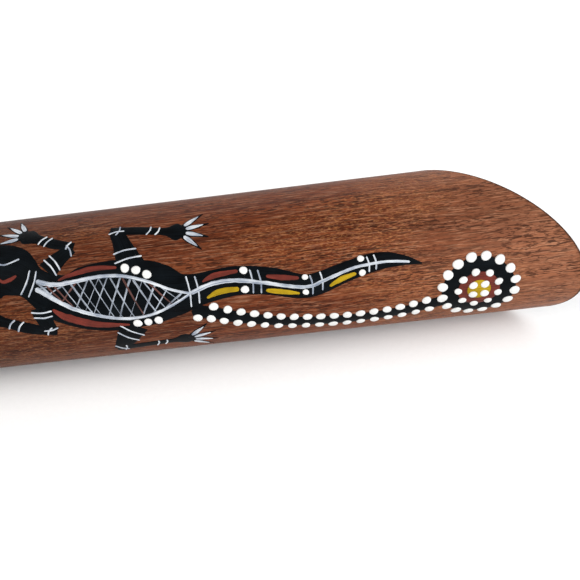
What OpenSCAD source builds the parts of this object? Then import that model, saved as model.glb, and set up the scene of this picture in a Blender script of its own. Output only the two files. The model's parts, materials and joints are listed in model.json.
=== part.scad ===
// Small painted didgeridoo with an obliquely sawn bell.
// Millimetres. The bore runs along +X, the player blows into the rim at x = 0, and +Z is up with the
// instrument lying down. Two gouged half shells are glued along their length, the mouth is lined with
// beeswax, and the paint is laid on the outside in thin coats.

/* [Tube] */
// Overall length, from the wax rim to the tip of the sawn bell
length = 500; // [460:10:600]
// Outside diameter at the mouth
mouth_d = 36.5; // [36:0.5:40]
// Outside diameter at the tip of the bell
bell_d = 41; // [40:0.5:46]
// Bore diameter, the same from end to end
bore_d = 30; // [28:0.5:31]
// Angle of the sawn bell from square
cut_angle = 48; // [30:1:50]
// Thickness of the glue film between the half shells
glue_t = 0.15; // [0.1:0.05:0.3]

/* [Wax mouthpiece] */
// Opening that the player blows into
wax_bore_d = 28; // [26:0.5:28]
// How far the wax stands proud of the wood
wax_rim = 5; // [3:0.5:8]
// How deep the wax lines the bore
wax_depth = 10; // [6:1:20]
// How far the bore is opened out for the lining
wax_seat = 0.6; // [0.4:0.1:0.8]
// Rounding of the rim's outer edge
wax_round = 2; // [1:0.25:2]

/* [Paint] */
// How far the painted side is turned forward from straight up
face_turn = 48.7; // [0:0.1:60]
// Thickness of one coat of paint
coat = 0.1; // [0.05:0.05:0.2]
// Height of a raised paint dot
dot_h = 0.4; // [0.3:0.1:0.6]

/* [Waterholes] */
// Radius of a waterhole's black ground
ground_r = 9.5; // [8:0.5:11]
// Radius of its red ring
ring_r = 5.3; // [4.8:0.1:6]
// Radius of its yellow centre
centre_r = 3; // [2.5:0.1:3.6]

/* [Track] */
// Distance between the two rows of dots in a track
row_gap = 3.8; // [3.4:0.1:4.5]
// Distance between dots along a row
dot_pitch = 3.5; // [3.2:0.1:4.5]

/* [Hidden] */
$fn = 64;

wood_start = wax_rim;
seat_r = bore_d / 2 + wax_seat;
reach = bell_d;                  // larger than any radius, for cutting blocks
over = 1;                        // how far a cut runs past the end that it opens
wood = "sienna";
black = [0.05, 0.06, 0.07];
red = [0.45, 0.12, 0.08];
yellow = [0.78, 0.6, 0.1];
white = [0.93, 0.92, 0.88];

// A point of the paintwork is [x, arc]: arc is in millimetres round the outside, from the middle of the
// painted side, positive on the upper side. A stroke's station is [x, arc, half width].

// Nose, neck, belly, hips and the waving tail
lizard_body = [
    [343.5, 7, 0.8], [345.5, 7, 4], [348.5, 6.9, 6.4], [352.5, 6.4, 7.3], [355.5, 5.6, 6.8], [358, 4, 5.5],
    [360.5, 2, 4.2], [364, -0.8, 5.2], [368, -2.9, 6.6], [373, -3.6, 8.5], [380, -4, 9.5], [388.5, -4.2, 8.8],
    [393, -4.6, 7.6], [397, -5, 5.7], [401, -4.6, 4.3], [411, -3.4, 3.8], [420, -4.6, 3.6], [429, -7, 3.2],
    [439, -4.3, 2.6], [447, -2.6, 2.3], [453, -3, 1.4], [458, -4.4, 0.2]
];
// Limbs, from the body to the knee or elbow, and from there to the foot or hand
lizard_limbs = [
    [[385.5, 3.5, 3.6], [383.6, 9.5, 2.3], [381.8, 14.4, 1.7]],
    [[380.6, 14, 1.3], [388, 13.1, 1.3], [394.5, 11.9, 1.2], [397.6, 11.4, 2.6], [400, 11.2, 0.6]],
    [[384, -12.5, 3.6], [380.6, -18, 2.5], [378.6, -21.8, 1.7]],
    [[377.6, -21.5, 1.3], [386, -20.9, 1.2], [392.5, -20.5, 1.1], [396, -20.3, 2.4], [398.6, -20.2, 0.6]],
    [[364.4, 4.6, 2.6], [367.6, 7.6, 2.1], [370.9, 10, 1.5]],
    [[371.4, 10.6, 1], [366.4, 12, 1.5], [362, 14.2, 1.5], [359.2, 15.6, 2.5], [357, 16.6, 0.6]],
    [[361.6, -4.4, 2.5], [362.2, -8.2, 2], [363.4, -11.4, 1.6]],
    [[364.4, -11.8, 1], [358, -9.8, 1.6], [352, -7.2, 1.4], [348.6, -5.6, 2.4], [346.4, -4.6, 0.6]]
];
// Where each hand and foot fans out, and the direction of its middle finger in degrees
lizard_feet = [[397.6, 11.4, -4], [396, -20.3, 2], [359.2, 15.6, 152], [348.6, -5.6, 156]];
finger_fan = [-40, -14, 14, 40];
// A finger's taper: share of its length, share of its half width
finger_taper = [[0, 0.7], [0.4, 1], [1, 0.15]];
lizard_turn = -12;               // angle round the tube that the lizard is drawn from

red_strokes = [
    [[367, 1.9, 0.2], [370, 2.9, 0.5], [376, 3.9, 0.7], [382, 3.5, 0.3]],
    [[364.6, -5.2, 0.3], [368, -7.9, 1], [375, -10.8, 0.9], [383, -12, 0.3]],
    [[402.8, -2.6, 0.2], [406, -1.4, 0.7], [412, -0.9, 0.4]],
    [[418.8, -3, 0.4], [423, -3.9, 0.7], [427, -4.5, 0.4]],
    [[351.8, 4.6, 0.2], [353.2, 3.2, 0.4], [355, 3.5, 0.5], [356.8, 4.4, 0.3]]
];
yellow_strokes = [
    [[403.4, -6.9, 0.3], [407, -5.6, 0.8], [411.8, -5.5, 0.6]],
    [[418.4, -6.7, 0.4], [422, -7.5, 0.7], [426.8, -8.6, 0.3]],
    [[434.4, -7.6, 0.3], [437.6, -6, 0.7], [441.4, -5, 0.4]]
];
belly_upper = [[361.5, 2.4], [366, 1], [371, 1.2], [377, 1.7], [383, 1.2], [389, -0.8], [395, -3.7],
    [399.5, -5.2]];
belly_lower = [[361.2, 0.6], [366, -3], [371, -6.2], [377, -8.7], [383, -10.1], [389, -9.7], [395, -7.5],
    [399.5, -5.2]];
tail_line = [[399.5, -5.2], [405, -3.4], [411, -3.2], [418, -4.6], [428, -7], [434, -5.6], [441, -3.5],
    [449, -2.9], [455, -3.6]];
line_w = 0.45;                   // half width of a painted line
ring_w = 0.2;                    // half width of a ring or band
hatch_w = 0.15;                  // half width of a cross-hatched line
hatch_from = 368;
hatch_to = 394;
hatch_pitch = 3;                 // distance between cross-hatched lines
hatch_lean = 4.5;                // how far a hatched line leans from one side of the belly to the other
hatch_tuck = 0.3;                // how far its ends run in under the belly's outline
tail_rings = [399.4, 401.6, 415.4, 417.4, 430.2, 432.8, 444.8, 446.6];
band_share = 0.9;                // how much of a limb's width a band crosses
ring_share = 0.85;               // how much of the tail's width a ring crosses
neck_bands = [[[360.2, 5.4], [359.2, 2.4], [357.4, -0.6]], [[361.8, 5], [361, 2], [359.2, -1.4]]];
brow = [[351.4, 8.4], [353.6, 7.6], [356, 8.2], [357.6, 8.8]];

// Dots on the lizard, as [x, arc, radius]
lizard_dot_places = [
    [384, 3.1, 1.1], [386.7, 2.3, 1.1], [389.3, 0.9, 1.1], [385, -11.8, 1.1], [387.7, -11.8, 1.1],
    [390.4, -11.6, 1.1], [413.4, -0.9, 1], [413.2, -5.8, 1], [428.5, -4.4, 0.8], [428.3, -8.4, 0.8],
    [442.8, -1.4, 0.9], [442.9, -5, 0.9], [348, 9.4, 0.9], [348, 4.4, 0.9]
];

// The middles of the tracks, from the lizard to the waterholes
bell_track = [[399, -10.2], [404, -11.3], [409, -13.3], [415, -15.3], [422, -17.4], [430, -18.8],
    [438, -19.6], [446, -19.5], [454, -18.6], [464.5, -16.2]];
mouth_track = [[336, 6.5], [325, 7.5], [312, 5.5], [298, 1.4], [284, -2.5], [270, -5], [257, -5.5],
    [247, -5]];
bell_waterhole = [472.3, -13.7];
mouth_waterhole = [238, -4.5];

lay_length = 6;                  // length of one lay of a long coat
hairline = 0.02;                 // gap between two lays
dot_sink = 0.3;                  // how far a dot's outline starts below the surface, before it is trimmed
outer_dots = 16;
ring_dots = 9;
centre_dots = 4;
centre_dots_at = 2.1;            // distance of the innermost dots from the middle
dot_r = 1.2;
outer_dot_r = 1.35;
ring_dot_r = 1.05;
centre_dot_r = 1.15;

// Outside radius of the wood
function radius_at(x) = (mouth_d + (bell_d - mouth_d) * x / length) / 2;
// Angle round the tube of a point of the paintwork
function arc_angle(p) = p[1] / radius_at(p[0]) * 180 / PI;
// The same point seen square on, with the tube turned so that angle turn faces the viewer
function flat(p, turn) = [p[0], radius_at(p[0]) * sin(arc_angle(p) - turn)];

// A smooth run of stations through the given ones
function at(s, i) = s[max(0, min(len(s) - 1, i))];
function between(a, b, c, d, t) =
    0.5 * (2 * b + (c - a) * t + (2 * a - 5 * b + 4 * c - d) * t * t + (3 * b - a - 3 * c + d) * t * t * t);
function smooth(s, n = 3) = concat(
    [for (i = [0 : len(s) - 2], j = [0 : n - 1]) between(at(s, i - 1), s[i], s[i + 1], at(s, i + 2), j / n)],
    [s[len(s) - 1]]
);
// Points beside station i of a stroke, and the outline of the whole stroke
function across(s, i) = let (d = at(s, i + 1) - at(s, i - 1)) [-d[1], d[0]] / norm([d[0], d[1]]);
function beside(s, i, w) = [s[i][0], s[i][1]] + across(s, i) * w;
function stroke(s) = concat(
    [for (i = [0 : len(s) - 1]) beside(s, i, s[i][2])],
    [for (i = [len(s) - 1 : -1 : 0]) beside(s, i, -s[i][2])]
);
function line(s, w = line_w) = [for (p = s) [p[0], p[1], w]];
function arc_at(s, x) = lookup(x, [for (p = s) [p[0], p[1]]]);

// How far along a path each of its points lies
function distances(s, i = 0, d = 0) = i == len(s) - 1 ? [d]
    : concat([d], distances(s, i + 1, d + norm(s[i + 1] - s[i])));
// The same path in n equal steps, at their middles
function even(s, n) = let (d = distances(s), total = d[len(s) - 1]) [
    for (k = [0 : n - 1]) [for (axis = [0, 1])
        lookup((k + 0.5) * total / n, [for (i = [0 : len(s) - 1]) [d[i], s[i][axis]]])]
];
// One row of a track: a dot every dot_pitch, beside the path, stopping short of the waterhole
function track_row(track, side) = let (
        s = smooth(track), d = distances(s), n = floor(d[len(s) - 1] / dot_pitch), places = even(s, n)
    ) [for (i = [side > 0 ? 1 : 0 : n - 2]) concat(beside(places, i, side * row_gap / 2), dot_r)];

module along_x() rotate([0, 90, 0]) children();
// Everything inside the outer surface grown by g
module solid_tube(g = 0) along_x()
    cylinder(h = length, r1 = mouth_d / 2 + g, r2 = bell_d / 2 + g, $fn = 400);
// The block that the oblique saw cut takes away; its face passes through the tip at the front
module sawn_off() translate([length, -bell_d / 2, 0]) rotate([0, 0, cut_angle])
    translate([0, -reach, -reach]) cube([3 * reach, 4 * reach, 2 * reach]);

module tube_wall() difference() {
    solid_tube();
    translate([-over, 0, 0]) along_x() cylinder(h = length + 2 * over, d = bore_d);
    along_x() cylinder(h = wood_start + wax_depth, r = seat_r);
    translate([wood_start - reach, -reach, -reach]) cube([reach, 2 * reach, 2 * reach]);
    sawn_off();
}
// Slab of the tube between two heights above the seam plane
module between_heights(low, high) rotate([face_turn, 0, 0])
    translate([-reach, -reach, low]) cube([length + 2 * reach, 2 * reach, high - low]);

module front_half_shell() color(wood) intersection() {
    tube_wall();
    between_heights(glue_t / 2, reach);
}
module back_half_shell() color(wood) intersection() {
    tube_wall();
    between_heights(-reach, -glue_t / 2);
}
module glue_line() color("tan") intersection() {
    tube_wall();
    between_heights(-glue_t / 2, glue_t / 2);
}

// Ring of beeswax: a rim over the end of the wood, rounded outside, and a lining inside the bore
module wax_mouthpiece() {
    inner = wax_bore_d / 2;
    outer = radius_at(wood_start);
    color("goldenrod") along_x() rotate_extrude() union() {
        translate([inner, 0]) square([seat_r - inner, wood_start + wax_depth]);
        translate([inner, 0]) square([outer - wax_round - inner, wood_start]);
        translate([inner, wax_round]) square([outer - inner, wood_start - wax_round]);
        translate([outer - wax_round, wax_round]) circle(r = wax_round);
    }
}

// One coat over the tube, level coats above the wood
module coat_shell(level) difference() {
    solid_tube((level + 1) * coat);
    solid_tube(level * coat);
}
module painted(turn, level) intersection() {
    coat_shell(level);
    rotate([face_turn - turn, 0, 0]) linear_extrude(height = reach) children();
}
// A long coat is laid in short lengths with hairlines between them
module in_lays() difference() {
    children();
    for (x = [0 : lay_length : length]) translate([x, -reach]) square([hairline, 2 * reach]);
}
module shape(points, turn) polygon([for (p = points) flat(p, turn)]);
// A raised dot's outline, from below the surface to its flattened top
module dot_profile(r) polygon([
    [0, -dot_sink], [r, -dot_sink], [r, 0.4 * dot_h], [0.85 * r, 0.75 * dot_h], [0.5 * r, dot_h], [0, dot_h]
]);
// Dots standing on the wood, or on what is already painted there
module dots(places, level = 0) difference() {
    for (p = places) rotate([face_turn - arc_angle(p), 0, 0])
        translate([p[0], 0, radius_at(p[0]) + level * coat]) rotate_extrude() dot_profile(p[2]);
    solid_tube(level * coat);
    children();
}

// Tapered fingers, from start millimetres out of the palm and l long
module fingers(start, l, w) for (foot = lizard_feet, fan = finger_fan) {
    way = [cos(foot[2] + fan), sin(foot[2] + fan)];
    shape(stroke([for (p = finger_taper) let (out = start + p[0] * l)
        [foot[0] + out * way[0], foot[1] + out * way[1], p[1] * w]]), lizard_turn);
}
module lizard_silhouette() color(black) painted(lizard_turn, 0) in_lays() {
    shape(stroke(smooth(lizard_body)), lizard_turn);
    for (limb = lizard_limbs) shape(stroke(smooth(limb)), lizard_turn);
    fingers(1, 7.5, 0.8);
}
module lizard_red_strokes() color(red) painted(lizard_turn, 1)
    for (s = red_strokes) shape(stroke(smooth(s)), lizard_turn);
module lizard_yellow_strokes() color(yellow) painted(lizard_turn, 1)
    for (s = yellow_strokes) shape(stroke(smooth(s)), lizard_turn);

// Two leaning sets of lines across the belly, each from one outline to the other
module hatching() for (x = [hatch_from : hatch_pitch : hatch_to], lean = [-hatch_lean, hatch_lean])
    shape(stroke(line([[x - lean / 2, arc_at(belly_upper, x - lean / 2) - hatch_tuck],
        [x + lean / 2, arc_at(belly_lower, x + lean / 2) + hatch_tuck]], hatch_w)), lizard_turn);
module rings_round_tail() for (x = tail_rings) {
    mid = lookup(x, [for (p = lizard_body) [p[0], p[1]]]);
    half = lookup(x, [for (p = lizard_body) [p[0], p[2]]]) * ring_share;
    shape(stroke(line([[x - 0.5, mid + half], [x, mid], [x - 0.2, mid - half]], ring_w)), lizard_turn);
}
// Pairs of bands across every limb, near the body and near the foot
module limb_bands() for (limb = lizard_limbs) {
    s = smooth(limb);
    for (i = len(limb) == 3 ? [1, 2, 5] : [1, 4, 5])
        shape(stroke(line([beside(s, i, s[i][2] * band_share), beside(s, i, -s[i][2] * band_share)], ring_w)),
            lizard_turn);
}
module lizard_white_lines() color(white) painted(lizard_turn, 1) {
    for (s = [belly_upper, belly_lower, tail_line]) shape(stroke(line(smooth(s))), lizard_turn);
    for (s = concat(neck_bands, [brow])) shape(stroke(line(smooth(s), ring_w)), lizard_turn);
    hatching();
    rings_round_tail();
    limb_bands();
    fingers(2.4, 4.6, 0.55);
}
module lizard_dots() color(white) dots(lizard_dot_places, 1);

function track_turn(track) = arc_angle(track[round(len(track) / 2)]);
module track_band(track) color(black) painted(track_turn(track), 0) in_lays()
    shape(stroke(line(smooth(track), row_gap / 2)), track_turn(track));
module track_dots(track) color(white)
    dots(concat(track_row(track, -1), track_row(track, 1))) track_band(track);

// A round patch of paint, one coat thick
module disc(c, r, level) intersection() {
    coat_shell(level);
    rotate([face_turn - arc_angle(c), 0, 0]) translate([c[0], 0, 0]) cylinder(h = reach, r = r);
}
module waterhole_ground(c) color(black) disc(c, ground_r, 0);
module waterhole_ring(c) color(red) disc(c, ring_r, 1);
module waterhole_centre(c) color(yellow) disc(c, centre_r, 2);
function ring_of_dots(c, n, r, size) = [
    for (k = [0 : n - 1]) let (a = (k + 0.5) * 360 / n) [c[0] + r * cos(a), c[1] + r * sin(a), size]
];
module waterhole_dots(c) color(white) {
    dots(ring_of_dots(c, outer_dots, ground_r, outer_dot_r)) waterhole_ground(c);
    dots(ring_of_dots(c, ring_dots, ring_r, ring_dot_r), 1) waterhole_ring(c);
    dots(ring_of_dots(c, centre_dots, centre_dots_at, centre_dot_r), 2) waterhole_centre(c);
}

front_half_shell();
back_half_shell();
glue_line();
wax_mouthpiece();
lizard_silhouette();
lizard_red_strokes();
lizard_yellow_strokes();
lizard_white_lines();
lizard_dots();
track_band(bell_track);  // bell_track_band
track_dots(bell_track);  // bell_track_dots
waterhole_ground(bell_waterhole);  // bell_waterhole_ground
waterhole_ring(bell_waterhole);  // bell_waterhole_ring
waterhole_centre(bell_waterhole);  // bell_waterhole_centre
waterhole_dots(bell_waterhole);  // bell_waterhole_dots
track_band(mouth_track);  // mouth_track_band
track_dots(mouth_track);  // mouth_track_dots
waterhole_ground(mouth_waterhole);  // mouth_waterhole_ground
waterhole_ring(mouth_waterhole);  // mouth_waterhole_ring
waterhole_centre(mouth_waterhole);  // mouth_waterhole_centre
waterhole_dots(mouth_waterhole);  // mouth_waterhole_dots
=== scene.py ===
"""A small painted wooden didgeridoo: two glued half shells, a beeswax mouthpiece, and a lizard, tracks and
waterholes painted along it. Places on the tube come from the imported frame. A point of the paintwork is
(x, arc): millimetres from the mouth, and millimetres round the outside from the middle of the painted side,
positive on the upper side."""

import json
import math
import random

import bpy
from mathutils import Matrix, Vector, noise


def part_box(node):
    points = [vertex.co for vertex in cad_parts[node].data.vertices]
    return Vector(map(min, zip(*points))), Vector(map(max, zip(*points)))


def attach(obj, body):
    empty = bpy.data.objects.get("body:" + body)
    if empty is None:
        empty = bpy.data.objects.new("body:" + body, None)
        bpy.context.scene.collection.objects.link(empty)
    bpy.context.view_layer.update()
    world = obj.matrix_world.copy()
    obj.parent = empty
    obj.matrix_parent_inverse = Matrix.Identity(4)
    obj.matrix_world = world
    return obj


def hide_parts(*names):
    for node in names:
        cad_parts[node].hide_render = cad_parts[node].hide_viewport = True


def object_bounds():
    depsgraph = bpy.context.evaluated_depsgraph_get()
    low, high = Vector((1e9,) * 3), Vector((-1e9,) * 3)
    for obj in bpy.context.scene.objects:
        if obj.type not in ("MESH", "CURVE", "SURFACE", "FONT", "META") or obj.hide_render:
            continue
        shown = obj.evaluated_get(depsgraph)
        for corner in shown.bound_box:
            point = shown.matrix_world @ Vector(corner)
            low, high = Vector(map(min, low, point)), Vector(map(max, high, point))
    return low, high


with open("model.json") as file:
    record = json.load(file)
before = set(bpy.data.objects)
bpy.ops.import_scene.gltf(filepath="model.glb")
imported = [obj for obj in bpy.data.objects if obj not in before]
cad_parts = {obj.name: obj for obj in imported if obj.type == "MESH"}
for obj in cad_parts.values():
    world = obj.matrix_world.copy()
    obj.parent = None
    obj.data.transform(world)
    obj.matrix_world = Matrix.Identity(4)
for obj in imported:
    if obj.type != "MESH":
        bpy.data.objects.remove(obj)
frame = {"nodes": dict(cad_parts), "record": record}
cad_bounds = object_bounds()

MM = 0.001
MOUNTS = {m["name"]: m for m in frame["record"]["mounts"]}
BORE_R = MOUNTS["bell_bore"]["dims"]["r_mm"] * MM
LIP_R = MOUNTS["mouth_bore"]["dims"]["r_mm"] * MM

# How thick a coat of paint lies, and how high a dot stands
COAT = 0.1 * MM
DOT_H = 0.42 * MM
# How far a stroke, a disc and a dot sink into what lies under them, as shares of a coat
STROKE_SINK = 0.4
DISC_SINK = 0.3
DOT_SINK = 0.2
# A coat's height at its edge, and what its middle adds, as shares of a coat
EDGE_LIFT = 0.15
FULL_LIFT = 0.75
# How unevenly the brush's hairs leave it
HAIR_LIFT = 0.12

# Sanding by hand: the mean depth under the true cone, and how far broad and fine unevenness go each way
SANDED = 0.1 * MM
BROAD = 0.08 * MM
FINE = 0.02 * MM

# The photograph's view: how far its middle is from the tip, the camera's distance from the axis, how far
# below the axis it is aimed, its roll, and its lens and sensor in millimetres
VIEW_FROM_TIP = 75.6 * MM
VIEW_DISTANCE = 235.5 * MM
VIEW_BELOW_AXIS = 7.83 * MM
VIEW_ROLL = math.radians(6.69)
LENS = 53.5
SENSOR = 36

# ------------------------------------------------- the lizard, as strokes of (x, arc, half width)

BODY = [
    (343.5, 7, 0.8), (345.5, 7, 4), (348.5, 6.9, 6.4), (352.5, 6.4, 7.3), (355.5, 5.6, 6.8), (358, 4, 5.5),
    (360.5, 2, 4.2), (364, -0.8, 5.2), (368, -2.9, 6.6), (373, -3.6, 8.5), (380, -4, 9.5), (388.5, -4.2, 8.8),
    (393, -4.6, 7.6), (397, -5, 5.7), (401, -4.6, 4.3), (411, -3.4, 3.8), (420, -4.6, 3.6), (429, -7, 3.2),
    (439, -4.3, 2.6), (447, -2.6, 2.3), (453, -3, 1.4), (458, -4.4, 0.2),
]
# Each leg as two strokes, from the body to its bend and from there to the foot: hind legs, then front legs
LIMBS = [
    [(385.5, 3.5, 3.6), (383.6, 9.5, 2.3), (381.8, 14.4, 1.7)],
    [(380.6, 14, 1.3), (388, 13.1, 1.3), (394.5, 11.9, 1.2), (397.6, 11.4, 2.6), (400, 11.2, 0.6)],
    [(384, -12.5, 3.6), (380.6, -18, 2.5), (378.6, -21.8, 1.7)],
    [(377.6, -21.5, 1.3), (386, -20.9, 1.2), (392.5, -20.5, 1.1), (396, -20.3, 2.4), (398.6, -20.2, 0.6)],
    [(364.4, 4.6, 2.6), (367.6, 7.6, 2.1), (370.9, 10, 1.5)],
    [(371.4, 10.6, 1), (366.4, 12, 1.5), (362, 14.2, 1.5), (359.2, 15.6, 2.5), (357, 16.6, 0.6)],
    [(361.6, -4.4, 2.5), (362.2, -8.2, 2), (363.4, -11.4, 1.6)],
    [(364.4, -11.8, 1), (358, -9.8, 1.6), (352, -7.2, 1.4), (348.6, -5.6, 2.4), (346.4, -4.6, 0.6)],
]
# (x, arc, direction of the middle finger in degrees), and how its fingers fan
FEET = [(397.6, 11.4, -4), (396, -20.3, 2), (359.2, 15.6, 152), (348.6, -5.6, 156)]
FAN = (-40, -14, 14, 40)
# A finger's taper: share of its length, share of its half width
FINGER_TAPER = [(0, 0.7), (0.4, 1), (1, 0.15)]
# Beside the belly, on the tail, and on the head
RED_STROKES = [
    [(367, 1.9, 0.2), (370, 2.9, 0.5), (376, 3.9, 0.7), (382, 3.5, 0.3)],
    [(364.6, -5.2, 0.3), (368, -7.9, 1), (375, -10.8, 0.9), (383, -12, 0.3)],
    [(402.8, -2.6, 0.2), (406, -1.4, 0.7), (412, -0.9, 0.4)],
    [(418.8, -3, 0.4), (423, -3.9, 0.7), (427, -4.5, 0.4)],
    [(351.8, 4.6, 0.2), (353.2, 3.2, 0.4), (355, 3.5, 0.5), (356.8, 4.4, 0.3)],
]
# Along the lower edge of the tail
YELLOW_STROKES = [
    [(403.4, -6.9, 0.3), (407, -5.6, 0.8), (411.8, -5.5, 0.6)],
    [(418.4, -6.7, 0.4), (422, -7.5, 0.7), (426.8, -8.6, 0.3)],
    [(434.4, -7.6, 0.3), (437.6, -6, 0.7), (441.4, -5, 0.4)],
]
# The broad white lines, as (x, arc)
BELLY_UPPER = [
    (361.5, 2.4), (366, 1), (371, 1.2), (377, 1.7), (383, 1.2), (389, -0.8), (395, -3.7), (399.5, -5.2),
]
BELLY_LOWER = [
    (361.2, 0.6), (366, -3), (371, -6.2), (377, -8.7), (383, -10.1), (389, -9.7), (395, -7.5), (399.5, -5.2),
]
TAIL_LINE = [
    (399.5, -5.2), (405, -3.4), (411, -3.2), (418, -4.6), (428, -7), (434, -5.6), (441, -3.5), (449, -2.9),
    (455, -3.6),
]
# Where the thin rings cross the tail
TAIL_RINGS = (399.4, 401.6, 415.4, 417.4, 430.2, 432.8, 444.8, 446.6)
# Thin bands behind the head, and a line over the eye
NECK_BANDS = [[(360.2, 5.4), (359.2, 2.4), (357.4, -0.6)], [(361.8, 5), (361, 2), (359.2, -1.4)]]
BROW = [(351.4, 8.4), (353.6, 7.6), (356, 8.2), (357.6, 8.8)]
# Half widths of the broad white lines and of the thin rings and bands
LINE_W = 0.45
RING_W = 0.2
# The hatching's start and end along the belly, and how far each line leans
HATCH_FROM, HATCH_TO = 364, 397
HATCH_LEAN = 4.5

# The tracks of dots, from the lizard outwards, and the gap between their two rows
BELL_TRACK = [
    (399, -10.2), (404, -11.3), (409, -13.3), (415, -15.3), (422, -17.4), (430, -18.8), (438, -19.6),
    (446, -19.5), (454, -18.6), (464.5, -16.2),
]
MOUTH_TRACK = [(336, 6.5), (325, 7.5), (312, 5.5), (298, 1.4), (284, -2.5), (270, -5), (257, -5.5), (247, -5)]
ROW_GAP = 3.8

# ------------------------------------------------- the tube, read from the frame

# How near to an end of the wood a point counts as being at it
AT_END = 0.2 * MM
# The sawn face's normal has at least this much of x and of y
SAWN = 0.4


def shell_vertices():
    shells = [frame["nodes"][name].data for name in ("front_half_shell", "back_half_shell")]
    return [v.co for shell in shells for v in shell.vertices]


def measure_cone():
    """Radius at x = 0 and its growth per metre, from the outermost points at both ends of the wood."""
    points = shell_vertices()
    low = min(p.x for p in points)
    high = max(p.x for p in points)
    r_low = max(p.yz.length for p in points if p.x < low + AT_END)
    r_high = max(p.yz.length for p in points if p.x > high - AT_END)
    slope = (r_high - r_low) / (high - low)
    return r_low - slope * low, slope


def measure_cut():
    """The sawn face's outward normal and its distance from the origin along it."""
    total = Vector()
    mesh = frame["nodes"]["front_half_shell"].data
    faces = [f for f in mesh.polygons if f.normal.x > SAWN and f.normal.y > SAWN]
    for f in faces:
        total += f.normal * f.area
    normal = total.normalized()
    return normal, sum(f.center.dot(normal) for f in faces) / len(faces)


def measure_face():
    """The elevation of the painted side, square to the plane of the glue."""
    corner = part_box("glue_line")[1]
    return math.atan2(corner.y, corner.z)


CONE_R, CONE_SLOPE = measure_cone()
CUT_NORMAL, CUT_DISTANCE = measure_cut()
FACE = measure_face()
FRONT = Vector((0, -math.cos(FACE), math.sin(FACE)))
UP = Vector((0, math.sin(FACE), math.cos(FACE)))
WOOD_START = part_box("front_half_shell")[0].x
TIP_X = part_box("front_half_shell")[1].x


def radius(x):
    return CONE_R + CONE_SLOPE * x


def outward(angle):
    return FRONT * math.cos(angle) + UP * math.sin(angle)


def angle_of(point):
    """The angle round the tube, from the middle of the painted side."""
    return math.atan2(point.dot(UP), point.dot(FRONT))


def unevenness(x, angle):
    """Shallow flats and hollows, always a little inside the true cone."""
    way = outward(angle)
    broad = noise.noise(Vector((x * 14, way.y * 1.3, way.z * 1.3)))
    fine = noise.noise(Vector((x * 60 + 7, way.y * 5, way.z * 5)))
    return BROAD * broad + FINE * fine - SANDED


def on_wood(x, angle, lift=0.0):
    return Vector((x, 0, 0)) + outward(angle) * (radius(x) + unevenness(x, angle) + lift)


def on_paint(x_mm, arc_mm, lift):
    """A point of the paintwork, lift metres above the wood."""
    x = x_mm * MM
    return on_wood(x, arc_mm * MM / radius(x), lift)


# ------------------------------------------------- meshes


def new_piece(name, verts, faces, node, material, brush_uv=None):
    """A smooth mesh that rides on the one body and stands for one CAD node."""
    mesh = bpy.data.meshes.new(name)
    mesh.from_pydata(verts, [], faces)
    mesh.validate()
    if brush_uv:
        layer = mesh.uv_layers.new(name="brush")
        for loop in mesh.loops:
            layer.data[loop.index].uv = brush_uv[loop.vertex_index]
    mesh.polygons.foreach_set("use_smooth", [True] * len(mesh.polygons))
    piece = bpy.data.objects.new(name, mesh)
    bpy.context.scene.collection.objects.link(piece)
    mesh.materials.append(material)
    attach(piece, "root")
    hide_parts(node)
    return piece


class Mesh:
    """Vertices, faces and brush coordinates gathered from many strokes."""

    def __init__(self):
        self.verts, self.faces, self.uv = [], [], []

    def grid(self, rows, uvs):
        """A sheet of quads through rows of points, and the indices of its corners."""
        start = len(self.verts)
        width = len(rows[0])
        for row, uv in zip(rows, uvs):
            self.verts += row
            self.uv += uv
        index = [[start + i * width + j for j in range(width)] for i in range(len(rows))]
        for a, b in zip(index, index[1:]):
            for j in range(width - 1):
                self.faces.append((a[j], b[j], b[j + 1], a[j + 1]))
        return index

    def piece(self, name, node, slot, material):
        return new_piece(name, self.verts, self.faces, node, material, self.uv)


def smooth_path(path, steps):
    """Points along a smooth curve through the given ones."""
    points = [Vector(p).to_3d() if len(p) < 3 else Vector(p) for p in path]
    padded = points[:1] + points + points[-1:]
    curve = []
    for a, b, c, d in zip(padded, padded[1:], padded[2:], padded[3:]):
        for k in range(steps):
            t = k / steps
            curve.append(0.5 * (2 * b + (c - a) * t + (2 * a - 5 * b + 4 * c - d) * t * t
                                + (3 * b - a - 3 * c + d) * t ** 3))
    return curve + points[-1:]


def resample(curve, pitch):
    """The same curve in even steps of about pitch, and its length."""
    lengths = [0.0]
    for a, b in zip(curve, curve[1:]):
        lengths.append(lengths[-1] + (b - a).xy.length)
    count = max(4, round(lengths[-1] / pitch))
    out, j = [], 0
    for k in range(count + 1):
        want = lengths[-1] * k / count
        while j < len(lengths) - 2 and lengths[j + 1] < want:
            j += 1
        span = lengths[j + 1] - lengths[j] or 1
        out.append(curve[j].lerp(curve[j + 1], (want - lengths[j]) / span))
    return out, lengths[-1]


def stroke_half(p, along, length, round_ends):
    """Half width of a stroke at a point, this far along it. It narrows to a round end."""
    half = max(p.z, 0.02)
    if not round_ends:
        return half
    end = min(along, length - along) / max(half, 0.05)
    return half * math.sqrt(max(1 - (1 - min(end, 1)) ** 2, 0.004))


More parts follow.
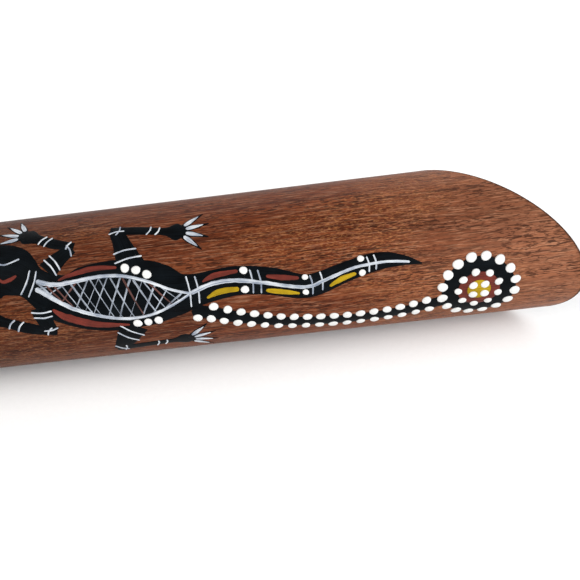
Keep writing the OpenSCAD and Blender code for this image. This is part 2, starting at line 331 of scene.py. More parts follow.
def brush_stroke(mesh, path, level, width=None, round_ends=True, wobble=0.06, columns=9, pitch=0.35,
                 press=0.0):
    """A coat of paint along a path, thin at its edges, rounded at its ends and closed underneath. wobble is
    how unevenly its edges run, and press makes it start wide and end narrow."""
    stations = [(p[0], p[1], width if width else p[2]) for p in path]
    curve, length = resample(smooth_path(stations, 8), pitch)
    for i, p in enumerate(curve):
        p.z *= 1 + press * (0.5 - i / (len(curve) - 1))
    seed = stations[0][0] * 3.7 + stations[0][1] * 1.9
    top, uvs, base = [], [], []
    for i, p in enumerate(curve):
        ahead = curve[min(i + 1, len(curve) - 1)] - curve[max(i - 1, 0)]
        side = Vector((-ahead.y, ahead.x, 0)).normalized()
        along = length * i / (len(curve) - 1)
        half = stroke_half(p, along, length, round_ends)
        row, row_uv, low = [], [], []
        for j in range(columns):
            v = math.sin(math.pi * (j / (columns - 1) - 0.5))
            jitter = 1 + wobble * noise.noise(Vector((along * 0.7 + seed, math.copysign(5, v), seed)))
            q = p + side * half * v * jitter
            edge = 1 - abs(v) ** 6
            streak = HAIR_LIFT * noise.noise(Vector((along * 0.25 + seed, v * half * 6, seed)))
            lift = level + EDGE_LIFT + (FULL_LIFT + streak) * edge
            row.append(on_paint(q.x, q.y, lift * COAT))
            low.append(on_paint(q.x, q.y, (level - STROKE_SINK) * COAT))
            row_uv.append((along * MM + seed, v * half * MM))
        top.append(row)
        base.append(low)
        uvs.append(row_uv)
    upper = mesh.grid(top, uvs)
    lower = mesh.grid([row[::-1] for row in base], [row[::-1] for row in uvs])
    close_stroke(mesh, upper, lower)


def close_stroke(mesh, upper, lower):
    """The four sides between a stroke's top and its underside, whose columns run the other way."""
    left = [(up[0], low[-1]) for up, low in zip(upper, lower)]
    right = [(up[-1], low[0]) for up, low in zip(upper, lower)]
    first = list(zip(upper[0], lower[0][::-1]))
    last = list(zip(upper[-1], lower[-1][::-1]))
    for rim, turned in ((left, False), (right, True), (first, True), (last, False)):
        for (a, b), (c, d) in zip(rim, rim[1:]):
            mesh.faces.append((c, d, b, a) if turned else (a, b, d, c))


def round_coat(mesh, x_mm, arc_mm, r_mm, profile, rings, segments, wobble, seed):
    """A round patch: profile gives the lift at a share of the radius. It is closed by a point underneath."""
    dice = random.Random(seed)
    phase = [dice.uniform(0, 6.28) for _ in range(3)]
    size = r_mm * (1 + dice.uniform(-wobble, wobble))
    start = len(mesh.verts)
    mesh.verts.append(on_paint(x_mm, arc_mm, profile(0)))
    mesh.uv.append((x_mm * MM, arc_mm * MM))
    for i in range(1, rings + 1):
        share = i / rings
        for j in range(segments):
            a = 2 * math.pi * j / segments
            waves = math.sin(2 * a + phase[0]) + math.sin(3 * a + phase[1]) / 2
            r = size * share * (1 + wobble * waves)
            q = (x_mm + r * math.cos(a), arc_mm + r * math.sin(a))
            mesh.verts.append(on_paint(*q, profile(share)))
            mesh.uv.append((q[0] * MM, q[1] * MM))
    for j in range(segments):
        k = (j + 1) % segments
        mesh.faces.append((start, start + 1 + j, start + 1 + k))
        for i in range(rings - 1):
            a, b = start + 1 + i * segments, start + 1 + (i + 1) * segments
            mesh.faces.append((a + j, b + j, b + k, a + k))
    bottom = len(mesh.verts)
    mesh.verts.append(on_paint(x_mm, arc_mm, profile(1) - DISC_SINK * COAT))
    mesh.uv.append((x_mm * MM, arc_mm * MM))
    rim = start + 1 + (rings - 1) * segments
    for j in range(segments):
        mesh.faces.append((rim + (j + 1) % segments, rim + j, bottom))


def islands(node):
    """Centre (x, arc) and radius in millimetres of each separate dot of a CAD node, from left to right."""
    mesh = frame["nodes"][node].data
    parent = {}

    def find(a):
        while parent.setdefault(a, a) != a:
            a = parent[a]
        return a

    def spot(i):
        return tuple(round(c / MM, 3) for c in mesh.vertices[i].co)

    for f in mesh.polygons:
        spots = [spot(i) for i in f.vertices]
        for other in spots[1:]:
            parent[find(other)] = find(spots[0])
    groups = {}
    for k in parent:
        groups.setdefault(find(k), []).append(Vector(k) * MM)
    dots = []
    for points in groups.values():
        xs = [p.x for p in points]
        angles = [angle_of(p) for p in points]
        x = (min(xs) + max(xs)) / 2
        arc = (min(angles) + max(angles)) / 2 * radius(x)
        dots.append((x / MM, arc / MM, (max(xs) - min(xs)) / 2 / MM))
    return sorted(dots)


def dot_profile(level):
    """A drop of thick paint: steep at its rim, nearly flat on top, with a nipple where the stick left it."""
    def lift(share):
        dome = math.sqrt(max(1 - share ** 2.6, 0))
        nipple = 0.08 * math.exp(-(share * 5) ** 2)
        return (level - DOT_SINK) * COAT + DOT_H * (0.86 * dome + nipple)
    return lift


def flat_profile(level):
    """A coat that is flat up to a soft rim."""
    def lift(share):
        return (level + EDGE_LIFT + FULL_LIFT * (1 - share ** 14)) * COAT
    return lift


# ------------------------------------------------- materials


def new_material(name):
    material = bpy.data.materials.new(name)
    material.use_nodes = True
    nodes = material.node_tree.nodes
    nodes.clear()
    shader = nodes.new("ShaderNodeBsdfPrincipled")
    output = nodes.new("ShaderNodeOutputMaterial")
    material.node_tree.links.new(shader.outputs["BSDF"], output.inputs["Surface"])
    return material, shader


class Graph:
    """Short ways to add and link the nodes of one material."""

    def __init__(self, material):
        self.tree = material.node_tree

    def feed(self, socket, value):
        """Links another node's output to a socket, or sets its value."""
        if isinstance(value, bpy.types.NodeSocket):
            self.tree.links.new(value, socket)
        else:
            socket.default_value = value

    def add(self, kind, inputs=None, **settings):
        node = self.tree.nodes.new(kind)
        for key, value in settings.items():
            setattr(node, key, value)
        for key, value in (inputs or {}).items():
            self.feed(node.inputs[key], value)
        return node

    def here(self):
        """Object coordinates."""
        return self.add("ShaderNodeTexCoord").outputs["Object"]

    def place(self, scale, offset=(0, 0, 0), turn=(0, 0, 0), brush=False):
        """Object coordinates, or a stroke's own, stretched by scale."""
        source = self.add("ShaderNodeUVMap", uv_map="brush").outputs["UV"] if brush else self.here()
        return self.add("ShaderNodeMapping", {
            "Vector": source, "Scale": scale, "Location": offset, "Rotation": turn,
        }).outputs["Vector"]

    def noise(self, vector, detail=2.0, roughness=0.5, distortion=0.0):
        return self.add("ShaderNodeTexNoise", {
            "Vector": vector, "Scale": 1.0, "Detail": detail, "Roughness": roughness,
            "Distortion": distortion,
        }).outputs["Fac"]

    def ramp(self, value, stops):
        node = self.add("ShaderNodeValToRGB", {"Fac": value})
        elements = node.color_ramp.elements
        while len(elements) < len(stops):
            elements.new(0.5)
        for element, (place, colour) in zip(elements, stops):
            element.position = place
            element.color = (*colour, 1) if hasattr(colour, "__len__") else (colour, colour, colour, 1)
        return node.outputs["Color"]

    def mix(self, factor, a, b, blend="MIX"):
        node = self.add("ShaderNodeMix", data_type="RGBA", blend_type=blend)
        first, second = [s for s in node.inputs if s.name in "AB" and s.type == "RGBA"]
        share = [s for s in node.inputs if s.name == "Factor" and s.type == "VALUE"][0]
        self.feed(share, factor)
        for socket, value in ((first, a), (second, b)):
            self.feed(socket, (*value, 1) if isinstance(value, tuple) else value)
        return [s for s in node.outputs if s.type == "RGBA"][0]

    def math(self, operation, a, b=0.0):
        node = self.add("ShaderNodeMath", operation=operation)
        self.feed(node.inputs[0], a)
        self.feed(node.inputs[1], b)
        return node.outputs[0]

    def bump(self, height, distance, strength):
        return self.add("ShaderNodeBump", {
            "Height": height, "Distance": distance, "Strength": strength,
        }).outputs["Normal"]


# Linear colours
WOOD_DARK = (0.060, 0.012, 0.004)
WOOD_MID = (0.165, 0.036, 0.011)
WOOD_LIGHT = (0.30, 0.085, 0.030)
# Pale rays in the wood, and the painted sheen at the bell
PALE_RAYS_AND_SHEEN = (0.46, 0.21, 0.115)
# The gold of the flecks where the grain turns: painted glints of light
PAINTED_GLINT_GOLD = (0.52, 0.21, 0.075)
PORE = (0.020, 0.005, 0.002)
END_GRAIN = (0.030, 0.010, 0.005)
# How far the end grain's dark colour reaches in from the sawn face
END_GRAIN_DEPTH = 1 * MM


def wood_grain(g, offset):
    """The wood's colour before its pores, with painted glints of light in it, and its fibres. Each scale is
    in features per metre.
    """
    ribbon = g.noise(g.place((4, 110, 110), offset), detail=3, roughness=0.55, distortion=0.6)
    fibre = g.noise(g.place((70, 3800, 3800), offset), detail=3, roughness=0.65)
    streak = g.noise(g.place((20, 1300, 1300), offset))
    tone = g.math("ADD", g.math("MULTIPLY", ribbon, 0.4), g.math("MULTIPLY", fibre, 0.35))
    tone = g.math("ADD", tone, g.math("MULTIPLY", streak, 0.25))
    colour = g.ramp(tone, [(0.38, WOOD_DARK), (0.5, WOOD_MID), (0.62, WOOD_LIGHT)])
    rays = g.noise(g.place((170, 3800, 3800), offset, (0, 0, 0.03)))
    colour = g.mix(g.math("MULTIPLY", g.ramp(rays, [(0.54, 0.0), (0.64, 1.0)]), 0.6), colour, PALE_RAYS_AND_SHEEN)
    # Golden flecks where the grain turns, painted into the colour as glints of light
    flecks = g.noise(g.place((1100, 4400, 4400), offset, (0, 0, 0.12)))
    turning = g.ramp(g.noise(g.place((18, 50, 50), offset), detail=1), [(0.5, 0.0), (0.66, 1.0)])
    painted_glints = g.math("MULTIPLY", g.ramp(flecks, [(0.52, 0.0), (0.64, 1.0)]), turning)
    return g.mix(g.math("MULTIPLY", painted_glints, 0.6), colour, PAINTED_GLINT_GOLD), fibre


def wood_pores(g, offset):
    """How deep the long and the short pores go, from 0 to 1, and more so in some places than in others."""
    long_pores = g.ramp(g.noise(g.place((280, 2700, 2700), offset)), [(0.40, 1.0), (0.45, 0.0)])
    short_pores = g.ramp(g.noise(g.place((640, 3200, 3200), offset), detail=1), [(0.39, 0.8), (0.44, 0.0)])
    where = g.ramp(g.noise(g.place((40, 300, 300), offset)), [(0.35, 0.4), (0.6, 1.0)])
    return g.math("MULTIPLY", g.math("MAXIMUM", long_pores, short_pores), where)


def wood_material(name, offset):
    """Mahogany along X: ribbons, fibres, pale rays, golden flecks where the grain turns, painted in as glints
    of light, and dark pores. It is darker towards the mouth, paler at the bell with a painted sheen, and dark
    on the sawn end grain."""
    material, shader = new_material(name)
    g = Graph(material)
    colour, fibre = wood_grain(g, offset)
    along = g.math("DIVIDE", g.add("ShaderNodeSeparateXYZ", {"Vector": g.here()}).outputs["X"], TIP_X)
    darker = g.ramp(along, [(0.68, 0.42), (0.80, 0.62), (0.92, 0.78)])
    colour = g.mix(1.0, colour, darker, "MULTIPLY")
    # Paler at the bell: a painted sheen
    colour = g.mix(g.ramp(along, [(0.88, 0.0), (0.98, 0.28)]), colour, PALE_RAYS_AND_SHEEN)
    depth = wood_pores(g, offset)
    colour = g.mix(g.math("MULTIPLY", depth, 0.85), colour, PORE)
    to_saw = g.add("ShaderNodeVectorMath", {0: g.here(), 1: tuple(CUT_NORMAL)}, operation="DOT_PRODUCT")
    inside = g.math("SUBTRACT", to_saw.outputs["Value"], CUT_DISTANCE - END_GRAIN_DEPTH)
    inside = g.math("DIVIDE", inside, END_GRAIN_DEPTH)
    colour = g.mix(g.ramp(inside, [(0.45, 0.0), (0.8, 0.9)]), colour, END_GRAIN)
    g.feed(shader.inputs["Base Color"], colour)
    g.feed(shader.inputs["Roughness"], g.ramp(fibre, [(0.3, 0.38), (0.7, 0.52)]))
    height = g.math("SUBTRACT", g.math("MULTIPLY", fibre, 0.25), depth)
    g.feed(shader.inputs["Normal"], g.bump(height, 0.04 * MM, 0.6))
    shader.inputs["Specular IOR Level"].default_value = 0.08
    return material


def paint_material(name, thin, thick, roughness, streaks=(60, 4000), cover=(0.3, 0.6), specular=0.25):
    """Acrylic laid by brush: streaks along the stroke, thin where the brush pressed."""
    material, shader = new_material(name)
    g = Graph(material)
    grain = g.noise(g.place((*streaks, 1), brush=True), detail=3, roughness=0.6)
    pool = g.noise(g.place((250, 250, 250)))
    amount = g.math("ADD", g.math("MULTIPLY", grain, 0.6), g.math("MULTIPLY", pool, 0.4))
    g.feed(shader.inputs["Base Color"], g.ramp(amount, [(cover[0], thin), (cover[1], thick)]))
    g.feed(shader.inputs["Normal"], g.bump(grain, 0.03 * MM, 0.5))
    shader.inputs["Roughness"].default_value = roughness
    shader.inputs["Specular IOR Level"].default_value = specular
    return material


def wax_material():
    material, shader = new_material("beeswax")
    g = Graph(material)
    cloud = g.noise(g.place((120, 120, 120)), detail=4, roughness=0.6)
    grime = g.noise(g.place((500, 500, 500)), detail=3)
    colour = g.ramp(cloud, [(0.3, (0.40, 0.20, 0.045)), (0.7, (0.62, 0.37, 0.10))])
    colour = g.mix(g.ramp(grime, [(0.58, 0.0), (0.72, 0.35)]), colour, (0.18, 0.08, 0.02))
    g.feed(shader.inputs["Base Color"], colour)
    g.feed(shader.inputs["Normal"], g.bump(g.math("ADD", cloud, grime), 0.15 * MM, 0.5))
    shader.inputs["Roughness"].default_value = 0.42
    shader.inputs["Subsurface Weight"].default_value = 0.25
    shader.inputs["Subsurface Radius"].default_value = (0.003, 0.0015, 0.0005)
    return material


def glue_material():
    material, shader = new_material("glue")
    g = Graph(material)
    blotch = g.noise(g.place((300, 900, 900)), detail=3)
    colour = g.ramp(blotch, [(0.35, (0.035, 0.012, 0.007)), (0.65, (0.12, 0.05, 0.025))])
    g.feed(shader.inputs["Base Color"], colour)
    shader.inputs["Roughness"].default_value = 0.5
    return material


def floor_material():
    material, shader = new_material("floor")
    g = Graph(material)
    paper = g.noise(g.place((900, 900, 900)))
    g.feed(shader.inputs["Base Color"], g.ramp(paper, [(0.3, 0.93), (0.7, 0.95)]))
    shader.inputs["Roughness"].default_value = 0.9
    shader.inputs["Specular IOR Level"].default_value = 0.1
    return material


# ------------------------------------------------- the wooden half shells and the glue

# Steps along the tube, round half of it, over the sawn face, and over a rubbed edge
X_STEPS = 260
ACROSS = 72
SAW_STEPS = 12
CORNER_STEPS = 5
# How far the edges are rubbed round
EDGE_R = 0.5 * MM
# How far the bore is opened out for the wax, and for how long a way
SEAT = 0.6 * MM
SEAT_LENGTH = 10 * MM
# How far the gouge leaves the bore uneven, and half the glue's thickness
GOUGED = 0.12 * MM
GLUE_HALF = 0.075 * MM
# How far the glue stays behind the wood at the mouth, the bell, the outside and the bore
GLUE_MOUTH = 0.2 * MM
GLUE_BELL = 0.3 * MM
GLUE_OUTSIDE = 0.06 * MM
GLUE_BORE = 0.05 * MM


def cut_x(angle, r):
    """Where a line along the tube, at this angle and radius, meets the sawn face."""
    return (CUT_DISTANCE - (outward(angle) * r).dot(CUT_NORMAL)) / CUT_NORMAL.x


def outer_end(angle):
    """Where the outside of the tube meets the sawn face, found by steps because the tube tapers."""
    x = TIP_X
    for _ in range(8):
        x = cut_x(angle, radius(x))
    return x


def bore_r(x, angle):
    """The bore, gouged by hand: shallow facets that run along it. Under the wax it is opened out."""
    seat = SEAT if x < WOOD_START + SEAT_LENGTH else 0
    facet = noise.noise(Vector((x * 25, math.cos(angle) * 4, math.sin(angle) * 4 + 9)))
    return BORE_R + seat + GOUGED * facet


def between(low, high, steps):
    """Even steps from low to high."""
    return [low + (high - low) * k / steps for k in range(steps + 1)]


def rounded_corner(a, corner, b):
    """Points of a soft corner between a and b, bulging towards corner."""
    shares = [k / CORNER_STEPS for k in range(1, CORNER_STEPS)]
    return [a.lerp(corner, t).lerp(corner.lerp(b, t), t) for t in shares]


def shell_section(angle):
    """One lengthwise section of the wall, in four runs: outside, sawn end, bore and mouth end."""
    way = outward(angle)
    x_out, x_in = outer_end(angle), cut_x(angle, BORE_R)
    start = WOOD_START + EDGE_R
    outside = [on_wood(x, angle) for x in between(start, x_out - EDGE_R, X_STEPS)]
    inside = [Vector((x, 0, 0)) + way * bore_r(x, angle) for x in between(start, x_in - EDGE_R, X_STEPS)]

    tip_out = Vector((x_out, 0, 0)) + way * radius(x_out)
    tip_in = Vector((x_in, 0, 0)) + way * BORE_R
    inwards = (tip_in - tip_out).normalized() * EDGE_R
    sawn = [(tip_out + inwards).lerp(tip_in - inwards, k / SAW_STEPS) for k in range(SAW_STEPS + 1)]
    bell = rounded_corner(outside[-1], tip_out, sawn[0]) + sawn + rounded_corner(sawn[-1], tip_in, inside[-1])

    mouth_out = Vector((WOOD_START, 0, 0)) + way * (radius(WOOD_START) - 0.05 * MM)
    mouth_in = Vector((WOOD_START, 0, 0)) + way * bore_r(WOOD_START, angle)
    flat = [mouth_in + way * EDGE_R, mouth_out - way * EDGE_R]
    mouth = rounded_corner(inside[0], mouth_in, flat[0]) + flat
    mouth += rounded_corner(flat[1], mouth_out, outside[0])
    return outside, bell, inside[::-1], mouth


def half_shell(name, middle, material):
    """A half shell: angles run over half a turn about middle, short of the seams by the glue."""
    verts, faces, rings = [], [], []
    for i in range(ACROSS + 1):
        share = 2 * i / ACROSS - 1
        outside, bell, inside, mouth = shell_section(middle + share * (math.pi / 2 - GLUE_HALF / BORE_R))
        loop = outside + bell + inside + mouth
        rings.append(range(len(verts), len(verts) + len(loop)))
        verts += loop
    count = len(loop)
    for a, b in zip(rings, rings[1:]):
        for j in range(count):
            k = (j + 1) % count
            faces.append((a[j], a[k], b[k], b[j]))
    faces += [face[::-1] for face in seam_faces(rings[0], len(bell))]
    faces += seam_faces(rings[-1], len(bell))
    return new_piece(name + "_wood", verts, faces, name, material)


def seam_faces(ring, bell_count):
    """Fills the plane of a seam: a ladder between the outside and the bore, and a fan at each end."""
    per_side = X_STEPS + 1
    outside = ring[:per_side]
    bell = ring[per_side:per_side + bell_count]
    inside = ring[per_side + bell_count:2 * per_side + bell_count][::-1]
    mouth = ring[2 * per_side + bell_count:]
    ladder = list(zip(outside, outside[1:], inside[1:], inside))
    return ladder + [(outside[-1], *bell, inside[-1]), (inside[0], *mouth, outside[0])]


def glue_film(material):
    """Two thin strips between the half shells, a hair inside the wood's surface."""
    verts, faces = [], []
    for angle in (math.pi / 2, -math.pi / 2):
        base = len(verts)
        start = WOOD_START + GLUE_MOUTH
        x_inner = between(start, cut_x(angle, BORE_R) - GLUE_BELL, X_STEPS)
        x_outer = between(start, outer_end(angle) - GLUE_BELL, X_STEPS)
        for x_in, x_out in zip(x_inner, x_outer):
            outer = on_wood(x_out, angle, -GLUE_OUTSIDE)
            inner = Vector((x_in, 0, 0)) + outward(angle) * (bore_r(x_in, angle) + GLUE_BORE)
            for shift in (-GLUE_HALF, GLUE_HALF):
                verts += [outer + FRONT * shift, inner + FRONT * shift]
        last = base + 4 * X_STEPS
        strip = [(base, base + 2, base + 3, base + 1), (last, last + 1, last + 3, last + 2)]
        for a in range(base, last, 4):
            strip += [(a + i, a + 4 + i, a + 4 + j, a + j) for i, j in ((0, 2), (2, 3), (3, 1), (1, 0))]
        faces += [face[::-1] for face in strip] if angle > 0 else strip
    return new_piece("glue_film", verts, faces, "glue_line", material)


# ------------------------------------------------- the wax

# How round the opening's edge and the rim's outer edge are
LIP_ROUND = 1.6 * MM
BEAD_ROUND = 2.4 * MM
# The lining stays this far inside the seat in the wood, and the thumb's marks are this deep
WAX_IN_SEAT = 0.5 * MM
THUMBED = 0.22 * MM
WAX_AROUND = 160


def wax_profile(outer, depth, seat):
    """The wax's section as (x, r): the opening from its inner end, the rounded rim, and the lining's back."""
    profile = [(depth, LIP_R + 0.7 * MM), (depth * 0.9, LIP_R + 0.2 * MM), (depth * 0.75, LIP_R)]
    profile += [(depth * 0.5, LIP_R), (LIP_ROUND * 1.2, LIP_R)]
    for k in range(1, 7):
        a = math.pi / 2 * k / 6
        profile.append((LIP_ROUND * (1 - math.sin(a)), LIP_R + LIP_ROUND * (1 - math.cos(a))))
    profile.append((0.1 * MM, (LIP_R + outer) / 2))
    for k in range(8):
        a = math.pi / 2 * k / 7
        profile.append((BEAD_ROUND * (1 - math.cos(a)), outer - BEAD_ROUND * (1 - math.sin(a))))
    profile += [(WOOD_START * 0.75, outer), (WOOD_START - 0.3 * MM, outer - 0.05 * MM)]
    profile += [(WOOD_START, outer - 0.3 * MM), (WOOD_START, seat + 1 * MM), (WOOD_START, seat)]
    return profile + [(WOOD_START * 2, seat), (depth, seat)]


def wax_ring(material):
    """A rim pressed on by thumb over the end of the wood, and a lining a little way into the bore."""
    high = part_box("wax_mouthpiece")[1]
    seat = BORE_R + WAX_IN_SEAT
    profile = wax_profile(high.z, high.x, seat)
    verts, faces = [], []
    for i in range(WAX_AROUND):
        a = 2 * math.pi * i / WAX_AROUND
        for x, r in profile:
            thumb = noise.noise(Vector((math.cos(a) * 2.2, math.sin(a) * 2.2, x * 90)))
            against_wood = r >= seat - 0.1 * MM and x >= WOOD_START - 0.1 * MM
            if not against_wood:
                r += (thumb - 0.55) * (-THUMBED if r < seat else THUMBED)
            verts.append(Vector((x, 0, 0)) + outward(a) * r)
    n = len(profile)
    for i in range(WAX_AROUND):
        k = (i + 1) % WAX_AROUND
        for j in range(n):
            m = (j + 1) % n
            faces.append((i * n + j, i * n + m, k * n + m, k * n + j))
    return new_piece("wax_rim", verts, faces, "wax_mouthpiece", material)


# ------------------------------------------------- the paintwork


def arc_on(path, x):
    """The second measure of a path at x, along straight lines between its points."""
    for (x0, a0), (x1, a1) in zip(path, path[1:]):
        if x0 <= x <= x1:
            return a0 + (a1 - a0) * (x - x0) / (x1 - x0)
    return path[0][1] if x < path[0][0] else path[-1][1]


def fingers(mesh, level, start, reach, width):
    """The fingers of all four feet, from start millimetres out of the palm."""
    for x, arc, heading in FEET:
        for fan in FAN:
            a = math.radians(heading + fan)
            way = Vector((math.cos(a), math.sin(a)))
            stations = [(start + share * reach, half * width) for share, half in FINGER_TAPER]
            path = [(x + out * way.x, arc + out * way.y, half) for out, half in stations]
            brush_stroke(mesh, path, level, columns=7, pitch=0.25)


def lizard_black(material):
    """The silhouette: body and tail in one stroke, then the legs and the fingers."""
    mesh = Mesh()
    brush_stroke(mesh, BODY, 0, round_ends=False, wobble=0.01, columns=41, pitch=0.5)
    for limb in LIMBS:
        brush_stroke(mesh, limb, 0, round_ends=False, wobble=0.05, columns=13)
    fingers(mesh, 0, 1, 7.5, 0.8)
    return mesh.piece("lizard_black", "lizard_silhouette", "black_paint", material)


def cross_strokes(limb):
    """Slanting bands across a limb, near the body and near the foot, that run a little past its edges."""
    curve = smooth_path(limb, 3)
    for i in (1, 2, 5) if len(limb) == 3 else (1, 4, 5):
        ahead = (curve[min(i + 1, len(curve) - 1)] - curve[i - 1]).xy.normalized()
        side = Vector((-ahead.y, ahead.x)) * curve[i].z * 1.1
        middle = curve[i].xy
        yield [middle + side + ahead * 0.5, middle + ahead * 0.4, middle - side - ahead * 0.4]


def tail_ring(x):
    """A ring across the body or tail, a little short of its edges."""
    middle = arc_on([p[:2] for p in BODY], x)
    half = arc_on([(p[0], p[2]) for p in BODY], x) * 0.85
    return [(x - 0.5, middle + half), (x, middle), (x - 0.2, middle - half)]


def lizard_white(material):
    """The white lines: broad ones along the body, thin bands and rings across it, and the fingers."""
    mesh = Mesh()
    for path in (BELLY_UPPER, BELLY_LOWER, TAIL_LINE):
        brush_stroke(mesh, path, 1.2, width=LINE_W, wobble=0.25, columns=7, pitch=0.25, press=0.6)
    thin = NECK_BANDS + [BROW]
    for limb in LIMBS:
        thin += cross_strokes(limb)
    thin += [tail_ring(x) for x in TAIL_RINGS]
    for path in thin:
        brush_stroke(mesh, path, 1, width=RING_W, wobble=0.3, columns=5, pitch=0.2)
    fingers(mesh, 1, 2.4, 4.6, 0.55)
    return mesh.piece("lizard_lines", "lizard_white_lines", "white_paint", material)


def belly_hatching(white, brown):
    """Two leaning sets of thin lines, laid by a drying brush, with a few in thinned red."""
    dice = random.Random(11)
    pale, dark = Mesh(), Mesh()
    for layer, lean in enumerate((-HATCH_LEAN, HATCH_LEAN)):
        x = HATCH_FROM
        while x < HATCH_TO:
            a = x - lean / 2 + dice.uniform(-0.3, 0.3)
            b = x + lean / 2 + dice.uniform(-0.3, 0.3)
            path = [(a, arc_on(BELLY_UPPER, a) - 0.2), (b, arc_on(BELLY_LOWER, b) + 0.2)]
            mesh = dark if dice.random() < 0.25 else pale
            brush_stroke(mesh, path, 0.75 + 0.2 * layer, width=dice.uniform(0.08, 0.24), wobble=0.5,
                         columns=5, pitch=0.25, press=0.5)
            x += dice.uniform(1.7, 3.4)
    pale.piece("lizard_hatching", "lizard_white_lines", "white_paint", white)
    dark.piece("lizard_red_hatching", "lizard_red_strokes", "red_paint", brown)


def coloured_strokes(name, node, slot, strokes, material):
    """Short strokes of one colour on the black."""
    mesh = Mesh()
    for path in strokes:
        brush_stroke(mesh, path, 1, wobble=0.15, columns=11, pitch=0.25)
    return mesh.piece(name, node, slot, material)


def dots(name, node, level, material):
    """Drops of paint where the CAD node has dots. level gives the paint level under a dot."""
    mesh = Mesh()
    for i, (x, arc, r) in enumerate(islands(node)):
        round_coat(mesh, x, arc, r, dot_profile(level(x, arc)), 9, 28, 0.045, i + len(node) * 100)
    return mesh.piece(name, node, "white_paint", material)


def disc(name, node, level, slot, material):
    """A round coat where the CAD node is, and its centre."""
    low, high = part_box(node)
    x = (low.x + high.x) / 2
    r_mm = (high.x - low.x) / 2 / MM
    angles = [angle_of(v.co) for v in frame["nodes"][node].data.vertices]
    centre = (x / MM, (min(angles) + max(angles)) / 2 * radius(x) / MM)
    mesh = Mesh()
    round_coat(mesh, *centre, r_mm, flat_profile(level), 26, 72, 0.012, len(name))
    mesh.piece(name, node, slot, material)
    return centre


# Radii within which a waterhole's dots stand on its yellow centre, and on its red ring
ON_YELLOW = 3.4
ON_RED = 7


def waterhole(side, black, red, yellow, white):
    """Three round coats, one on the other, with rings of white dots."""
    centre = disc(side + "_ground", side + "_waterhole_ground", 0, "black_paint", black)
    disc(side + "_red_disc", side + "_waterhole_ring", 1, "red_paint", red)
    disc(side + "_yellow_disc", side + "_waterhole_centre", 2, "yellow_paint", yellow)

    def level(x, arc):
        far = math.hypot(x - centre[0], arc - centre[1])
        return 2.6 if far < ON_YELLOW else 1.2 if far < ON_RED else 0.4

    dots(side + "_rings_of_dots", side + "_waterhole_dots", level, white)


def track(side, path, black, white):
    """A black band with a row of white dots along each edge."""
    mesh = Mesh()
    brush_stroke(mesh, path, 0, width=ROW_GAP / 2, wobble=0.08, columns=11)
    mesh.piece(side + "_track_black", side + "_track_band", "black_paint", black)
    dots(side + "_track_white", side + "_track_dots", lambda x, arc: 0.4, white)


# ------------------------------------------------- studio

FLOOR_SIZE = 4.0
FLOOR_STEPS = 8


def white_floor():
    floor_z = cad_bounds[0][2]
    places = [FLOOR_SIZE * (i / FLOOR_STEPS - 0.5) for i in range(FLOOR_STEPS + 1)]
    row = FLOOR_STEPS + 1
    verts = [(x, y, floor_z) for y in places for x in places]
    faces = [(a, a + 1, a + 1 + row, a + row) for a in range(row * FLOOR_STEPS) if (a + 1) % row]
    mesh = bpy.data.meshes.new("floor")
    mesh.from_pydata(verts, [], faces)
    mesh.materials.append(floor_material())
    floor = bpy.data.objects.new("floor", mesh)
    bpy.context.scene.collection.objects.link(floor)


def studio():
    """A white floor, an even white sky, and soft lamps where the camera sees no reflection of them."""
    white_floor()
    world = bpy.data.worlds.new("studio")
    bpy.context.scene.world = world
    world.use_nodes = True
    background = world.node_tree.nodes["Background"]
    background.inputs["Color"].default_value = (1, 1, 1, 1)
    background.inputs["Strength"].default_value = 0.5
    softbox("left", Vector((-0.8, -0.25, 0.65)), (0.8, 0.8), 7.0, (1.0, 0.98, 0.95))
    softbox("right", Vector((0.75, -0.4, 0.5)), (0.7, 0.7), 7.0, (1.0, 1.0, 1.0))
    softbox("behind", Vector((0.0, 0.9, 0.5)), (1.2, 0.4), 3.5, (1.0, 1.0, 1.0))
    softbox("window", Vector((0.5, -0.9, 0.25)), (0.7, 0.35), 3.5, (0.84, 0.93, 1.0))


def softbox(name, way, size, power, colour):
    """An area light, placed from the middle of the view, that faces it."""
    data = bpy.data.lights.new(name, "AREA")
    data.shape = "RECTANGLE"
    data.size, data.size_y = size
    data.energy = power
    data.color = colour
    lamp = bpy.data.objects.new(name, data)
    bpy.context.scene.collection.objects.link(lamp)
    place = Vector((TIP_X - VIEW_FROM_TIP, 0, 0)) + way
    lamp.matrix_world = Matrix.Translation(place) @ (-way).to_track_quat("-Z", "Y").to_matrix().to_4x4()


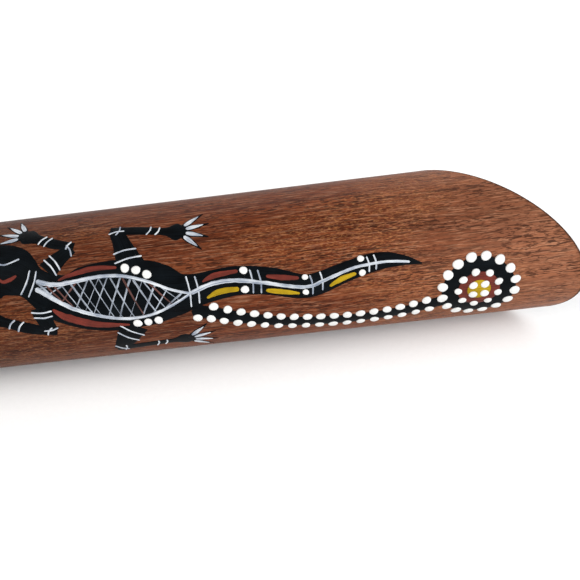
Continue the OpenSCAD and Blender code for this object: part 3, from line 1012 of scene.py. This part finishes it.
def camera():
    """The photograph's view: square to the painted side, aimed a little below the axis, and rolled."""
    data = bpy.data.cameras.new("camera")
    data.lens = LENS
    data.sensor_width = SENSOR
    data.clip_start = 0.01
    eye_axis = Vector((TIP_X - VIEW_FROM_TIP, 0, 0))
    place = eye_axis + FRONT * VIEW_DISTANCE
    target = eye_axis - UP * VIEW_BELOW_AXIS
    ahead = (target - place).normalized()
    along = Vector((1, 0, 0))
    above = along.cross(ahead).normalized()
    right = along * math.cos(VIEW_ROLL) - above * math.sin(VIEW_ROLL)
    up = along * math.sin(VIEW_ROLL) + above * math.cos(VIEW_ROLL)
    turn = Matrix((right, up, -ahead)).transposed().to_4x4()
    camera = bpy.data.objects.new("camera", data)
    camera.matrix_world = Matrix.Translation(place) @ turn
    bpy.context.scene.collection.objects.link(camera)
    bpy.context.scene.camera = camera


# ------------------------------------------------- build

camera()
studio()
bpy.context.scene.view_settings.view_transform = "Standard"

black = paint_material("black_paint", (0.004, 0.006, 0.008), (0.001, 0.0015, 0.002), 0.38, specular=0.04)
red = paint_material("red_paint", (0.035, 0.008, 0.006), (0.155, 0.026, 0.017), 0.45, specular=0.1)
yellow = paint_material("yellow_paint", (0.14, 0.085, 0.003), (0.42, 0.27, 0.006), 0.45, specular=0.1)
white_lines = paint_material("white_line_paint", (0.16, 0.19, 0.25), (0.64, 0.66, 0.68), 0.4,
                             cover=(0.4, 0.6))
thin_white = paint_material("thin_white_paint", (0.04, 0.05, 0.07), (0.42, 0.46, 0.52), 0.45,
                            streaks=(300, 4000), cover=(0.36, 0.64))
thin_red = paint_material("thin_red_paint", (0.02, 0.006, 0.004), (0.13, 0.05, 0.04), 0.45,
                          streaks=(300, 4000), cover=(0.36, 0.64))
white_dots = paint_material("white_dot_paint", (0.62, 0.61, 0.59), (0.72, 0.71, 0.69), 0.4,
                            streaks=(400, 400))

half_shell("front_half_shell", 0, wood_material("wood_front", (0.3, 0.1, 0.2)))
half_shell("back_half_shell", math.pi, wood_material("wood_back", (0.9, 0.55, 0.4)))
glue_film(glue_material())
wax_ring(wax_material())

lizard_black(black)
belly_hatching(thin_white, thin_red)
lizard_white(white_lines)
coloured_strokes("lizard_red", "lizard_red_strokes", "red_paint", RED_STROKES, red)
coloured_strokes("lizard_yellow", "lizard_yellow_strokes", "yellow_paint", YELLOW_STROKES, yellow)
dots("lizard_white_dots", "lizard_dots", lambda x, arc: 1.3, white_dots)
track("bell", BELL_TRACK, black, white_dots)
track("mouth", MOUTH_TRACK, black, white_dots)
waterhole("bell", black, red, yellow, white_dots)
waterhole("mouth", black, red, yellow, white_dots)
